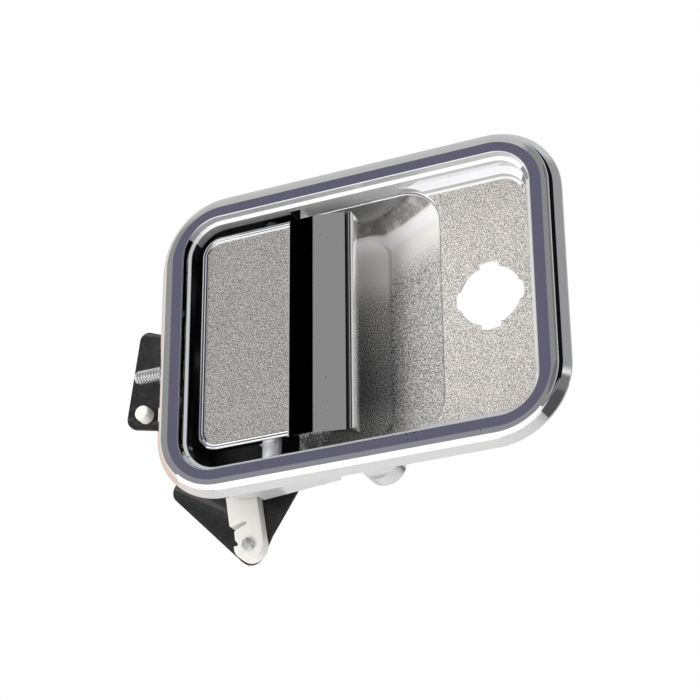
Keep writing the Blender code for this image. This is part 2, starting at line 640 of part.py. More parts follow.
def make_bumper():
    """Rubber stop that the tail rests against when the paddle is shut."""
    centre = (TAIL_X - 2.9, WELL_Y - GAP, 0.0)
    profile = [(0.0, 7.0), (1.9, 7.0), (2.5, 6.2), (2.5, 0.0), (0.0, 0.0)]
    finish(turned("rest_bumper", profile, (centre[0], centre[1], -13.0), (0, -1, 0), HANDLE, 16),
           RUBBER)


# --- build -------------------------------------------------------------------
clear_scene()
HANDLE = make_collection("door_handle")
CUTTERS = make_collection("cutters")
CHROME = make_material("chrome", (0.78, 0.78, 0.80), 0.12, 1.0)
BLACK = make_material("black_steel", (0.035, 0.035, 0.037), 0.45, 0.6)
STEEL = make_material("spring_steel", (0.42, 0.42, 0.43), 0.35, 1.0)
ZINC = make_material("zinc_plate", (0.70, 0.72, 0.74), 0.30, 1.0)
NYLON = make_material("nylon", (0.86, 0.85, 0.80), 0.50, 0.0)
RUBBER = make_material("rubber", (0.03, 0.03, 0.03), 0.80, 0.0)

HINGE = joint_empty("paddle_hinge_axis", HINGE_X, HINGE_Y, 0.0)
LEVER = joint_empty("release_lever_axis", LEVER_PIVOT[0], LEVER_Y, LEVER_PIVOT[1])
SWIVEL = joint_empty("rod_clip_axis", CLIP_PIVOT[0], CLIP_Y, CLIP_PIVOT[1], LEVER)
LOCK = joint_empty("lock_lever_axis", LOCK_PIVOT[0], LOCK_LEVER_Y, LOCK_PIVOT[1])

make_housing()
make_gasket()
make_paddle(HINGE)
make_tail(HINGE)
make_hinge_pin()
make_springs()
make_back_plate()
make_pivot("lever_pivot", LEVER_PIVOT, LEVER_Y)
make_pivot("lock_lever_pivot", LOCK_PIVOT, LOCK_LEVER_Y)
make_release_lever(LEVER)
make_rod_clip(SWIVEL)
make_lock_lever(LOCK)
make_side_stud()
make_rear_studs()
make_bumper()
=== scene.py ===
"""Looks of the recessed door handle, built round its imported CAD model.

Sizes are in millimetres from the centre of the bezel at the back of its flange: X right, Y into
the door, Z up. place() turns them into metres in the frame of the CAD model.
"""
import math

import bmesh
import bpy
from mathutils import Matrix, Vector


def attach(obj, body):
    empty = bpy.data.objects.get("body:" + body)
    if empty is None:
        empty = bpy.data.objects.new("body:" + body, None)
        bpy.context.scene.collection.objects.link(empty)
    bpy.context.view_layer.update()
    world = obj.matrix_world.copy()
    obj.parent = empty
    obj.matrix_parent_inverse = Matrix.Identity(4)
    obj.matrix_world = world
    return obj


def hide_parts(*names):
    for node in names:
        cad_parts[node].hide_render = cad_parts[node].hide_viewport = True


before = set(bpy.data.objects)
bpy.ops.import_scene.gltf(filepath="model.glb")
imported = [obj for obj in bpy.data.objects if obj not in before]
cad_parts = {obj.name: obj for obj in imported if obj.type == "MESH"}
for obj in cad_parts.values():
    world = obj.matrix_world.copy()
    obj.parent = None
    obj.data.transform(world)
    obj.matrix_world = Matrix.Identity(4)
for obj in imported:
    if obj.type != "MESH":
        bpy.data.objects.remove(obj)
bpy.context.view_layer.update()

MM = 0.001
GAP = 0.3
HALF_W, HALF_H = 84.0, 64.7
FLANGE_R, LIP_R = 29.4, 15.1
LIP_INSET, WALL_INSET = 11.1, 13.0
SIDE_SCALE, END_SCALE = 1.04, 0.96
WALL = 2.6
SEAL_T, SEAL_W, SEAL_INSET = 1.5, 5.0, 2.0
IN_W, IN_H = HALF_W - WALL_INSET * SIDE_SCALE, HALF_H - WALL_INSET * END_SCALE
IN_R = 13.0
OUT_W, OUT_H, OUT_R = IN_W + WALL, IN_H + WALL, IN_R + WALL
FRONT = -12.0
PANEL_Y = 5.8
PANEL_R = 10.0
WELL_Y, WELL_RIGHT = 22.5, -27.5
POCKET_LEFT, POCKET_RIGHT, POCKET_Y, POCKET_R = WELL_RIGHT + WALL, 32.0, 20.5, 16.0
RAMP_START, RAMP_BLEND, FILLET, DRAFT = 6.4, 6.0, 5.0, 0.26
RAMP_WIDTH = POCKET_RIGHT - RAMP_START
DIVIDER_Y = 8.0
LEDGE_LEFT = -22.0
LOCK_X = 51.7
LOCK_R, LOBE_SIDE_R, LOBE_END_R = 12.4, 13.4, 14.1
LOBE_HALF_ANGLE = 16.0
HINGE_X, HINGE_Y = -38.6, 7.0
BORE_R, BARREL_R, BARREL_IN = 2.55, 3.75, 36.0
PADDLE_LEFT, PADDLE_H, PADDLE_R = -65.0, 46.2, 8.0
PADDLE_FRONT, PADDLE_BACK = -3.4, -0.3
LINK_BACK = PADDLE_BACK - 0.4
GRIP_LEFT, ROLL_LEFT, ROLL_RIGHT, GRIP_RIGHT = -27.3, -16.9, -4.0, -0.3
GRIP_TOP, GRIP_BOTTOM = 45.5, -46.9
WINDOW = (-52.0, -29.5, 9.0)
TAIL_X, TAIL_T = -45.6, 2.3
LEVER_Y, LEVER_T = 31.0, 1.6
LEVER_PIVOT, PUSH_PIN = (-38.0, -36.0), (-37.0, 0.0)
PUSH_PIN_R, PUSH_PIN_Y = 2.0, 27.3
CLIP_PIVOT, CLIP_Y, CLIP_T = (-57.6, -74.0), 25.6, 5.0
CLIP_LEAN = math.radians(8.5)
LOCK_LEVER_Y, LOCK_PIVOT, BUSH_AT = 28.0, (-75.0, 8.0), (-105.4, -10.4)
STUD_Y, STUD_Z, STUD_TIP, STUD_R = 12.0, -0.8, -101.7, 2.75
EAR_R, EAR_HOLE_R, EAR_Z, EAR_Y0, EAR_Y1 = 8.2, 2.1, -51.2, 19.0, 27.0
PLATE_SCREWS = ((-62.0, 39.0), (-32.0, 39.0), (-62.0, -27.0), (-31.5, -19.0))
OFFSET = Vector((0.0, -SEAL_T - GAP, HALF_H - SEAL_INSET - SEAL_W / 2))


# --- outlines ----------------------------------------------------------------
def place(x, y, z):
    return (Vector((x, y, z)) + OFFSET) * MM


def arc(cx, cy, radius, start, end, steps):
    """Points on an arc; angles in degrees."""
    points = []
    for i in range(steps + 1):
        angle = math.radians(start + (end - start) * i / steps)
        points.append((cx + radius * math.cos(angle), cy + radius * math.sin(angle)))
    return points


def rounded(corners, steps=8, closed=True):
    """Outline through (x, y, radius) corners, each rounded with its own radius."""
    outline = []
    count = len(corners)
    for i, (x, y, radius) in enumerate(corners):
        here = Vector((x, y))
        if radius <= 0.0 or (not closed and i in (0, count - 1)):
            outline.append((x, y))
            continue
        before = (Vector(corners[i - 1][:2]) - here).normalized()
        after = (Vector(corners[(i + 1) % count][:2]) - here).normalized()
        half = before.angle(after) / 2
        centre = here + (before + after).normalized() * radius / math.sin(half)
        first = here + before * radius / math.tan(half) - centre
        turn = first.angle_signed(here + after * radius / math.tan(half) - centre)
        for k in range(steps + 1):
            outline.append(tuple(centre + Matrix.Rotation(-turn * k / steps, 2) @ first))
    return outline


def box_outline(x0, x1, z0, z1, left_r, right_r, steps=12):
    return rounded([(x1, z0, right_r), (x1, z1, right_r), (x0, z1, left_r), (x0, z0, left_r)],
                   steps)


def circle(cx, cy, radius, steps=48):
    return arc(cx, cy, radius, 0, 360 * (steps - 1) / steps, steps - 1)


# --- solids ------------------------------------------------------------------
def add_object(name, mesh):
    obj = bpy.data.objects.new(name, mesh)
    bpy.context.scene.collection.objects.link(obj)
    return obj


def settle(source, name):
    """Replace a curve or a modified object by its own closed mesh."""
    bpy.context.view_layer.update()
    graph = bpy.context.evaluated_depsgraph_get()
    mesh = bpy.data.meshes.new_from_object(source.evaluated_get(graph))
    mesh.transform(source.matrix_world)
    bpy.data.objects.remove(source, do_unlink=True)
    cage = bmesh.new()
    cage.from_mesh(mesh)
    bmesh.ops.remove_doubles(cage, verts=cage.verts, dist=1e-6)
    bmesh.ops.recalc_face_normals(cage, faces=cage.faces)
    cage.to_mesh(mesh)
    cage.free()
    mesh.materials.clear()
    mesh.name = name
    return add_object(name, mesh)


def extruded(name, outlines, low, high, axis):
    """Flat outlines (holes included) as a plate from low to high along an axis."""
    curve = bpy.data.curves.new(name, 'CURVE')
    curve.dimensions = '2D'
    curve.fill_mode = 'BOTH'
    curve.extrude = (high - low) / 2 * MM
    for outline in outlines:
        spline = curve.splines.new('POLY')
        spline.points.add(len(outline) - 1)
        for point, (x, y) in zip(spline.points, outline):
            point.co = (x * MM, y * MM, 0.0, 1.0)
        spline.use_cyclic_u = True
    source = add_object(name + "_outline", curve)
    middle = (low + high) / 2
    if axis == 'Y':      # outline is (x, z)
        turn, at = Matrix.Rotation(math.pi / 2, 4, 'X'), (0.0, middle, 0.0)
    elif axis == 'X':    # outline is (y, z)
        turn, at = Matrix(((0, 0, 1), (1, 0, 0), (0, 1, 0))).to_4x4(), (middle, 0.0, 0.0)
    else:                # outline is (x, y)
        turn, at = Matrix.Identity(4), (0.0, 0.0, middle)
    source.matrix_world = Matrix.Translation(place(*at)) @ turn
    return settle(source, name)


def plate(name, outlines, low, high):
    return extruded(name, outlines, low, high, 'Y')


def turned(name, profile, centre, axis, steps=48):
    """A turned piece; profile is (radius, height) down its outer side, top first."""
    mesh = bpy.data.meshes.new(name)
    mesh.from_pydata([(r * MM, 0.0, h * MM) for r, h in profile],
                     [(i, i + 1) for i in range(len(profile) - 1)], [])
    source = add_object(name + "_profile", mesh)
    screw = source.modifiers.new("turn", 'SCREW')
    screw.steps = screw.render_steps = steps
    screw.use_merge_vertices = True
    screw.merge_threshold = 1e-6
    turn = Vector((0, 0, 1)).rotation_difference(Vector(axis)).to_matrix().to_4x4()
    source.matrix_world = Matrix.Translation(place(*centre)) @ turn
    return settle(source, name)


def rod(name, radius, centre, axis, length, chamfer=0.3, steps=32):
    profile = [(0.0, length), (radius - chamfer, length), (radius, length - chamfer),
               (radius, chamfer), (radius - chamfer, 0.0), (0.0, 0.0)]
    return turned(name, profile, centre, axis, steps)


def loft(name, stations, capped):
    """Skin outlines (x, z) at successive depths y; uncapped, the last joins the first."""
    cage = bmesh.new()
    loops = [[cage.verts.new(place(x, y, z)) for x, z in outline] for y, outline in stations]
    if capped:
        cage.faces.new(loops[0])
        cage.faces.new(loops[-1])
        pairs = zip(loops[:-1], loops[1:])
    else:
        pairs = zip(loops, loops[1:] + loops[:1])
    for loop, following in pairs:
        for k in range(len(loop)):
            n = (k + 1) % len(loop)
            cage.faces.new((loop[k], loop[n], following[n], following[k]))
    bmesh.ops.recalc_face_normals(cage, faces=cage.faces)
    mesh = bpy.data.meshes.new(name)
    cage.to_mesh(mesh)
    cage.free()
    return add_object(name, mesh)


def combine(target, joined, removed):
    """Join and cut solids, then keep the result as one mesh."""
    for operation, tools in (('UNION', joined), ('DIFFERENCE', removed)):
        for tool in tools:
            modifier = target.modifiers.new(tool.name, 'BOOLEAN')
            modifier.operation = operation
            modifier.solver = 'EXACT'
            modifier.object = tool
    result = settle(target, target.name)
    for tool in joined + removed:
        bpy.data.objects.remove(tool, do_unlink=True)
    return result


def merge(name, parts):
    """Several closed bodies as one object, with their own materials kept."""
    cage = bmesh.new()
    materials = []
    for part in parts:
        mesh = part.data
        for material in mesh.materials:
            if material not in materials:
                materials.append(material)
        remap = [materials.index(m) for m in mesh.materials]
        before = len(cage.faces)
        cage.from_mesh(mesh)
        cage.faces.ensure_lookup_table()
        for face in cage.faces[before:]:
            face.material_index = remap[face.material_index]
        bpy.data.objects.remove(part, do_unlink=True)
    mesh = bpy.data.meshes.new(name)
    cage.to_mesh(mesh)
    cage.free()
    for material in materials:
        mesh.materials.append(material)
    return add_object(name, mesh)


def soften(obj, width, segments=2, angle=35.0):
    """Round the edges a little and keep flat faces flat."""
    modifier = obj.modifiers.new("edges", 'BEVEL')
    modifier.width = width * MM
    modifier.segments = segments
    modifier.limit_method = 'ANGLE'
    modifier.angle_limit = math.radians(angle)
    modifier.harden_normals = False
    return obj


def smooth(obj, angle=30.0):
    """Smooth shading, with crisp borders where a flat front face ends."""
    obj.data.shade_smooth()
    obj.data.set_sharp_from_angle(angle=math.radians(angle))
    cage = bmesh.new()
    cage.from_mesh(obj.data)
    for edge in cage.edges:
        if len(edge.link_faces) == 2:
            flat = [face.normal.y < -0.99995 for face in edge.link_faces]
            if any(flat) and not all(flat) and edge.calc_face_angle() > math.radians(3.0):
                edge.smooth = False
    cage.to_mesh(obj.data)
    cage.free()
    normals = obj.modifiers.new("normals", 'WEIGHTED_NORMAL')
    normals.keep_sharp = True
    return obj


def paint(obj, *materials):
    for material in materials:
        obj.data.materials.append(material)
    return obj


def dress(obj, body, slot_name, *nodes):
    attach(obj, body)
    if nodes:
        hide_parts(*nodes)
    return obj


# --- node helpers ------------------------------------------------------------
class Graph:
    """Short calls for building one node tree."""

    def __init__(self, tree):
        self.tree = tree

    def node(self, kind, **settings):
        node = self.tree.nodes.new(kind)
        for key, value in settings.items():
            setattr(node, key, value)
        return node

    def feed(self, socket, value):
        if isinstance(value, bpy.types.NodeSocket):
            self.tree.links.new(value, socket)
        else:
            socket.default_value = value

    def math(self, operation, a, b=0.0):
        node = self.node('ShaderNodeMath', operation=operation)
        self.feed(node.inputs[0], a)
        self.feed(node.inputs[1], b)
        return node.outputs[0]

    def ramp(self, value, low, high, start=0.0, end=1.0):
        """Smooth step from start to end as value goes from low to high."""
        node = self.node('ShaderNodeMapRange', interpolation_type='SMOOTHSTEP')
        for socket, number in zip(node.inputs, (value, low, high, start, end)):
            self.feed(socket, number)
        return node.outputs[0]

    def band(self, value, low, high, soft):
        up = self.ramp(value, low - soft / 2, low + soft / 2)
        down = self.ramp(value, high - soft / 2, high + soft / 2, 1.0, 0.0)
        return self.math('MULTIPLY', up, down)

    def patch(self, u, v, box, soft):
        """Soft-edged rectangle (u0, u1, v0, v1)."""
        u0, u1, v0, v1 = box
        return self.math('MULTIPLY', self.band(u, u0, u1, soft), self.band(v, v0, v1, soft))

    def mix(self, factor, first, second):
        node = self.node('ShaderNodeMix', data_type='RGBA')
        self.feed(node.inputs['Factor'], factor)
        self.feed(node.inputs[6], first)
        self.feed(node.inputs[7], second)
        return node.outputs[2]

    def noise(self, vector, scale, detail=2.0, roughness=0.5):
        node = self.node('ShaderNodeTexNoise')
        self.feed(node.inputs['Vector'], vector)
        self.feed(node.inputs['Scale'], scale)
        self.feed(node.inputs['Detail'], detail)
        self.feed(node.inputs['Roughness'], roughness)
        return node.outputs['Fac']

    def stretched(self, vector, scale):
        node = self.node('ShaderNodeMapping')
        self.feed(node.inputs['Vector'], vector)
        self.feed(node.inputs['Scale'], scale)
        return node.outputs[0]

    def bump(self, height, strength, distance, normal=None):
        node = self.node('ShaderNodeBump')
        self.feed(node.inputs['Height'], height)
        self.feed(node.inputs['Strength'], strength)
        self.feed(node.inputs['Distance'], distance)
        if normal is not None:
            self.feed(node.inputs['Normal'], normal)
        return node.outputs[0]


def grey(value, tint=(1.0, 1.0, 1.0)):
    return (value * tint[0], value * tint[1], value * tint[2], 1.0)


def new_material(name, metallic, roughness):
    material = bpy.data.materials.new(name)
    material.use_nodes = True
    graph = Graph(material.node_tree)
    shader = material.node_tree.nodes["Principled BSDF"]
    shader.inputs["Metallic"].default_value = metallic
    shader.inputs["Roughness"].default_value = roughness
    coords = graph.node('ShaderNodeTexCoord').outputs['Object']
    return material, graph, shader, coords


def make_chrome(name, tone=0.90, low_gloss=0.01, high_gloss=0.03, wave_size=0.014,
                metallic=1.0, ripple=0.0015):
    """Mirror plate: faint unevenness of the casting, fine haze and a few small dark spots."""
    material, graph, shader, coords = new_material(name, metallic, 0.05)
    haze = graph.noise(coords, 320.0, 4.0, 0.6)
    graph.feed(shader.inputs["Roughness"], graph.ramp(haze, 0.35, 0.8, low_gloss, high_gloss))
    spot_cells = graph.node('ShaderNodeTexVoronoi')
    graph.feed(spot_cells.inputs['Vector'], coords)
    graph.feed(spot_cells.inputs['Scale'], 420.0)
    rare = graph.ramp(graph.noise(coords, 60.0, 2.0), 0.60, 0.72)
    dots = graph.ramp(spot_cells.outputs['Distance'], 0.10, 0.20, 1.0, 0.0)
    spots = graph.math('MULTIPLY', dots, rare)
    color = graph.mix(graph.math('MULTIPLY', spots, 0.75), grey(tone, (0.98, 0.985, 1.0)),
                      grey(tone * 0.25, (1.0, 0.92, 0.85)))
    graph.feed(shader.inputs["Base Color"], color)
    wave = graph.noise(coords, 38.0, 1.0, 0.4)
    normal = graph.bump(wave, wave_size, 0.0006)
    fine = graph.bump(graph.noise(coords, 260.0, 2.0), ripple, 0.0002, normal)
    graph.feed(shader.inputs["Normal"], fine)
    return material


def make_sand(name, tone, metallic, depth, grain, tint):
    """Chrome over a sand-textured casting: fine bumps, with painted shade in their hollows and
    painted light on their tops.
    """
    material, graph, shader, coords = new_material(name, metallic, 0.40)
    coarse = graph.noise(coords, grain, 2.0, 0.6)
    fine = graph.noise(coords, grain * 2.3, 1.0, 0.5)
    height = graph.math('ADD', coarse, graph.math('MULTIPLY', fine, 0.45))
    cloud = graph.noise(coords, 45.0, 3.0, 0.6)
    # painted shade in the grain's hollows and painted light on its tops; depth sets how dark the
    # shade is
    speck = graph.ramp(coarse, 0.38, 0.60)
    dark = graph.mix(cloud, grey(tone * depth, (0.97, 0.98, 1.0)), grey(tone * (depth + 0.12)))
    light = grey(min(1.0, tone * 1.08), tint)
    graph.feed(shader.inputs["Base Color"], graph.mix(speck, dark, light))
    graph.feed(shader.inputs["Normal"], graph.bump(height, 0.42, 0.00022))
    return material


def make_pocket(name):
    """Finger pocket: smooth upper wall painted pale, painted shade in the hollow under it, lower
    down and along the crease, a painted highlight on the floor's edge, texture that fades upwards.
    """
    material, graph, shader, coords = new_material(name, 0.8, 0.40)
    facing = graph.node('ShaderNodeSeparateXYZ')
    graph.feed(facing.inputs[0], graph.node('ShaderNodeTexCoord').outputs['Normal'])
    at = graph.node('ShaderNodeSeparateXYZ')
    graph.feed(at.inputs[0], coords)
    side, height = facing.outputs['Z'], at.outputs['Z']
    slope = graph.ramp(facing.outputs['X'], -0.12, -0.40)
    # the smooth upper wall, which is also painted pale
    wall = graph.ramp(side, -0.88, -0.94)
    # painted shade: a dark band on the faces under the upper wall
    hollow = graph.band(side, -0.93, -0.32, 0.07)

    # painted shade: darker lower down, at the foot and towards the left
    low = graph.ramp(height, 0.082, 0.038)
    foot = graph.ramp(height, 0.036, 0.022, 1.0, 0.10)
    near = graph.ramp(at.outputs['X'], 0.002, 0.016, 1.0, 0.10)
    depth = graph.math('MULTIPLY', graph.math('MULTIPLY', low, foot), near)
    # painted shade: the ramp a little darker and warmer than the floor
    lit = graph.mix(slope, grey(1.0, (1.0, 0.985, 0.96)), grey(0.94, (1.0, 0.98, 0.94)))
    base = graph.mix(depth, lit, grey(0.42))
    # painted shade along the crease between floor and ramp
    crease = graph.math('MULTIPLY', graph.band(facing.outputs['X'], -0.26, -0.06, 0.08), 0.35)
    base = graph.mix(crease, base, grey(0.20))
    # painted highlight along the floor's upper edge
    base = graph.mix(graph.band(side, -0.26, -0.08, 0.08), base, grey(1.0))

    coarse = graph.noise(coords, 2300.0, 2.0, 0.6)
    # painted shade in the grain's hollows and painted glints on its tops, fading upwards
    grain = graph.ramp(coarse, 0.60, 0.42)
    fade = graph.ramp(graph.math('ADD', height, graph.math('MULTIPLY', slope, -0.008)),
                      0.088, 0.070)
    grain = graph.math('MULTIPLY', graph.math('MULTIPLY', grain, fade), 0.92)
    color = graph.mix(grain, base, grey(0.05))
    glint = graph.math('MULTIPLY', graph.ramp(coarse, 0.52, 0.68), fade)
    color = graph.mix(graph.math('MULTIPLY', glint, 0.85), color, grey(0.90))
    # patchy painted shade within the dark band
    patchy_shade = graph.ramp(graph.noise(coords, 160.0, 3.0, 0.6), 0.30, 0.55)
    shadow = graph.math('MULTIPLY', hollow, graph.math('ADD', graph.math('MULTIPLY', patchy_shade, 0.40),
                                                       0.35))
    color = graph.mix(shadow, color, grey(0.10))
    # painted shade, near black, on upward-facing faces towards the left
    shade = graph.math('MULTIPLY', graph.ramp(side, 0.30, 0.60),
                       graph.ramp(at.outputs['X'], -0.001, -0.006))
    color = graph.mix(shade, color, grey(0.004))
    # the upper wall painted pale
    graph.feed(shader.inputs["Base Color"], graph.mix(wall, color, grey(1.0)))
    metal = graph.math('SUBTRACT', 0.60, graph.math('MULTIPLY', wall, 0.55))
    metal = graph.math('SUBTRACT', metal, graph.math('MULTIPLY', slope, 0.30))
    graph.feed(shader.inputs["Metallic"], metal)
    graph.feed(shader.inputs["Normal"],
               graph.bump(coarse, graph.math('MULTIPLY', fade, 0.40), 0.00020))
    return material


def make_black(name):
    """Black electro-coat with faint dust, lighter on its sharp edges."""
    material, graph, shader, coords = new_material(name, 0.0, 0.45)
    speck = graph.ramp(graph.noise(coords, 900.0, 3.0, 0.7), 0.52, 0.78)
    cloud = graph.noise(coords, 120.0, 3.0, 0.6)
    base = graph.mix(cloud, grey(0.004), grey(0.014))
    dusty = graph.mix(graph.math('MULTIPLY', speck, 0.55), base, grey(0.08))
    # lighter where the surface is sharply convex
    point = graph.node('ShaderNodeNewGeometry').outputs['Pointiness']
    edge = graph.ramp(point, 0.52, 0.60)
    graph.feed(shader.inputs["Base Color"],
               graph.mix(graph.math('MULTIPLY', edge, 0.5), dusty, grey(0.11)))
    graph.feed(shader.inputs["Roughness"], graph.ramp(cloud, 0.3, 0.7, 0.38, 0.60))
    shader.inputs["Specular IOR Level"].default_value = 0.45
    graph.feed(shader.inputs["Normal"], graph.bump(graph.noise(coords, 1500.0, 2.0), 0.25,
                                                   0.0001))
    return material


def make_metal(name, tone, tint, roughness, scale, metallic=1.0):
    """Plated or plain steel, with a drawn grain and faint stains."""
    material, graph, shader, coords = new_material(name, metallic, roughness)
    grain = graph.noise(graph.stretched(coords, (scale, scale, scale * 0.15)), 1.0, 3.0, 0.6)
    stain = graph.noise(coords, 180.0, 3.0, 0.6)
    graph.feed(shader.inputs["Base Color"],
               graph.mix(graph.ramp(stain, 0.35, 0.75), grey(tone, tint), grey(tone * 0.78)))
    graph.feed(shader.inputs["Roughness"],
               graph.ramp(grain, 0.3, 0.7, roughness * 0.75, roughness * 1.3))
    graph.feed(shader.inputs["Normal"], graph.bump(grain, 0.12, 0.00005))
    return material


def make_plastic(name, tone, tint, roughness):
    """Moulded plastic: slight cloudiness, fine surface and faint scuffs."""
    material, graph, shader, coords = new_material(name, 0.0, roughness)
    cloud = graph.noise(coords, 90.0, 3.0, 0.6)
    scuff = graph.ramp(graph.noise(coords, 700.0, 3.0, 0.7), 0.60, 0.80)
    base = graph.mix(cloud, grey(tone * 0.93, tint), grey(tone, tint))
    graph.feed(shader.inputs["Base Color"],
               graph.mix(graph.math('MULTIPLY', scuff, 0.25), base, grey(tone * 0.7, tint)))
    graph.feed(shader.inputs["Roughness"],
               graph.ramp(scuff, 0.0, 1.0, roughness, min(1.0, roughness * 1.35)))
    graph.feed(shader.inputs["Normal"], graph.bump(graph.noise(coords, 1100.0, 2.0), 0.15,
                                                   0.00008))
    return material


# --- bezel and pan -----------------------------------------------------------
def looks_down(face):
    """True for faces of the opening's upper side and the upper part of its corners."""
    return face.normal.z < -0.5 * math.hypot(face.normal.x, face.normal.z) - 0.01


def bezel_rim():
    """The chromed rim: its section lofted round the opening, with painted pale and grey reflection
    on the faces of its upper side and outer edge.
    """
    corners = [(0.0, 0.0, 0.0), (0.05, -0.9, 0.35), (2.75, -4.76, 2.9), (6.3, -5.05, 0.0),
               (10.85, -5.05, 0.45), (11.45, -2.4, 0.35), (12.95, -1.8, 0.3), (13.05, 2.2, 0.0),
               (12.0, 2.2, 0.0), (11.7, 0.05, 0.0)]
    stations = []
    for inset, y in rounded(corners, 7):
        if inset <= LIP_INSET:
            radius = FLANGE_R + (LIP_R - FLANGE_R) * inset / LIP_INSET
        else:
            radius = LIP_R + LIP_INSET - inset
        half_w, half_h = HALF_W - inset * SIDE_SCALE, HALF_H - inset * END_SCALE
        stations.append((y, box_outline(-half_w, half_w, -half_h, half_h, radius, radius, 28)))
    rim = loft("bezel_rim", stations, False)
    paint(rim, CHROME, PAINTED_PALE_REFLECTION, PAINTED_GREY_REFLECTION)
    painted_pale_slot, painted_grey_slot = 1, 2
    # Painted reflection: faces on the opening's upper side get the pale or the grey plate, and the
    # flange's outer edge gets the grey one.
    for face in rim.data.polygons:
        at = face.center / MM - OFFSET
        inner = at.y > -4.9 and abs(at.x) < HALF_W - 11.0 and at.z < HALF_H - 10.0
        if inner and looks_down(face):
            face.material_index = painted_grey_slot if abs(face.normal.y) < 0.6 else painted_pale_slot
        elif abs(face.normal.y) < 0.2 and -0.9 < at.y < -0.01:
            face.material_index = painted_grey_slot
    return dress(smooth(rim, 25.0), "housing", "chrome", "bezel_housing")


def ramp_run(rise):
    """How far right of the floor's edge the ramp is at a height above the floor."""
    slope = (POCKET_Y - PANEL_Y) / (POCKET_RIGHT - RAMP_START)
    angle = math.atan(slope)
    if rise < RAMP_BLEND * (1.0 - math.cos(angle)):
        return (math.sqrt(rise * (2.0 * RAMP_BLEND - rise))
                - RAMP_BLEND * math.tan(angle / 2))
    return rise / slope


def pocket_solid(name, grow, front, height, edge_round=0.0):
    """The finger pocket's shape: the right end ramps up, the floor's other edges are round."""
    floor, rim = POCKET_Y + grow, PANEL_Y + grow * 0.7
    left, right = POCKET_LEFT - grow, POCKET_RIGHT + grow
    stations = [(front, box_outline(left, right, -height, height, 3.0, POCKET_R, 16))]
    if edge_round > 0.0:
        for i in range(5):
            angle = math.pi / 2 * i / 4
            y = rim - 0.02 + edge_round * (1.0 - math.cos(angle))
            edge = right + edge_round * (1.0 - math.sin(angle)) * 1.2
            stations.append((y, box_outline(left, edge, -height, height, 3.0, POCKET_R, 16)))
    top = stations[-1][0] + 0.05 if edge_round > 0.0 else rim
    for i in range(21):
        y = top + (floor - top) * math.sin(math.pi / 2 * i / 20)
        share = ramp_run((floor - y) * (POCKET_Y - PANEL_Y) / (floor - top))
        edge = RAMP_START + grow * 0.4 + share * (right - RAMP_START - grow * 0.4) / RAMP_WIDTH
        into = max(0.0, (y - floor + FILLET) / FILLET)
        round_off = FILLET * (1.0 - math.sqrt(max(0.0, 1.0 - into * into)))
        tall = height - DRAFT * (y - rim) - round_off
        stations.append((y, box_outline(left + round_off, edge, -tall, tall, 3.0,
                                        POCKET_R - 5.0 * i / 20, 16)))
    return loft(name, stations, True)


def ledge_solid():
    """The steps that lead down from the rim to the lock panel."""
    steps = [(FRONT + 2, 0.05, 0.05), (2.3, 0.05, 0.05), (2.45, 0.3, 0.3), (3.05, 1.2, 2.75),
             (3.3, 1.45, 3.0), (4.75, 1.75, 3.3), (5.0, 1.95, 3.5), (5.6, 2.75, 4.0),
             (PANEL_Y, 3.0, 4.12)]
    stations = []
    for y, side, end in steps:
        half_h = IN_H - end
        radius = IN_R + (PANEL_R - IN_R) * side / 3.0
        stations.append((y, box_outline(LEDGE_LEFT, IN_W - side, -half_h, half_h, 0.5, radius, 16)))
    return loft("ledge_cut", stations, True)


def lobed_hole(grow=0.0, steps=8):
    """Round lock hole with four shallow key notches at the quarter points."""
    outline = []
    for quarter in range(4):
        middle = quarter * 90.0
        reach = (LOBE_SIDE_R if quarter % 2 == 0 else LOBE_END_R) + grow
        outline += arc(LOCK_X, 0.0, reach, middle - LOBE_HALF_ANGLE, middle + LOBE_HALF_ANGLE,
                       steps)
        outline += arc(LOCK_X, 0.0, LOCK_R + grow, middle + LOBE_HALF_ANGLE + 2.0,
                       middle + 88.0 - LOBE_HALF_ANGLE, steps)
    return outline


def inside_pocket(at):
    """True for points on the pocket's own surface, seen from the front."""
    if not (DIVIDER_Y - 2.0 < at.y < POCKET_Y + 0.3 and POCKET_LEFT - 0.5 < at.x < POCKET_RIGHT):
        return False
    return abs(at.z) < IN_H - 0.2 - DRAFT * (at.y - PANEL_Y) and at.y > PANEL_Y + 1.0


def inside_well(at):
    """True for points on the deep well round the paddle's left part."""
    return -IN_W - 0.1 < at.x < WELL_RIGHT + 0.1 and at.y > 2.0 and abs(at.z) < IN_H + 0.1


